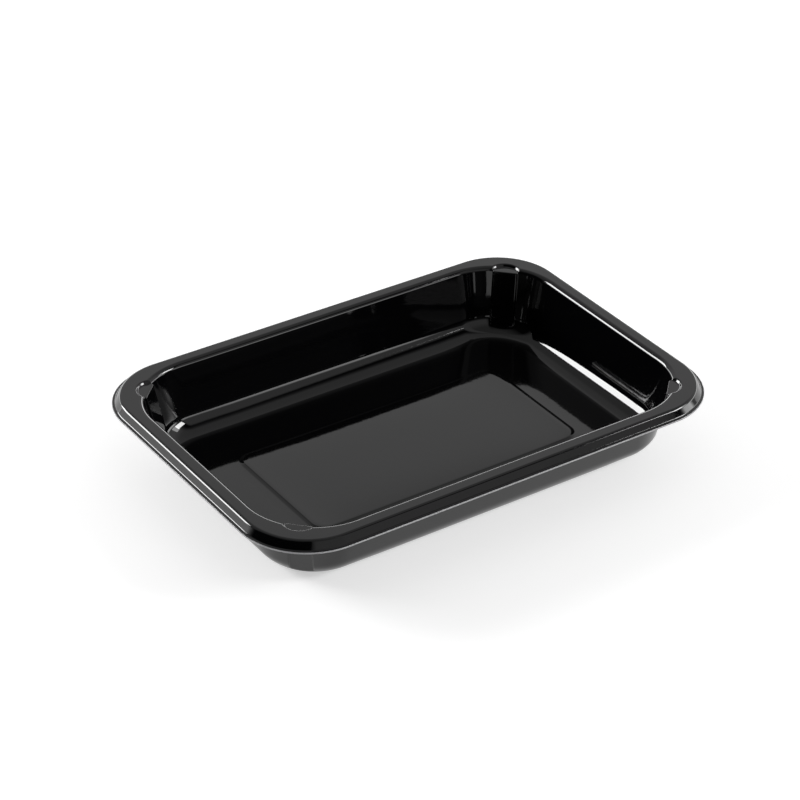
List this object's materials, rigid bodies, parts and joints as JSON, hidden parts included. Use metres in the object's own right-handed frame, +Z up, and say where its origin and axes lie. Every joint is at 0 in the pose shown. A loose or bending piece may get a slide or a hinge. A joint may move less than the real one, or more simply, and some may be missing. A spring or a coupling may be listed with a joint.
{
  "type": "ovenable meal tray",
  "caption": "Shallow rectangular thermoformed food tray with sloping walls, a flat sealing flange, a turned-down lip and stacking pockets in its corners.",
  "frame": {"origin": "centre of the bounding box at its lowest face, the face that the tray stands on", "axes": "+X along the long side, +Y along the short side, +Z up out of the open top"},
  "size_m": [0.225, 0.157, 0.0312],
  "materials": {
    "tray": "glossy black crystalline PET, as thermoformed"
  },
  "bodies": {
    "root": {"tray": "tray"}
  },
  "joints": []
}
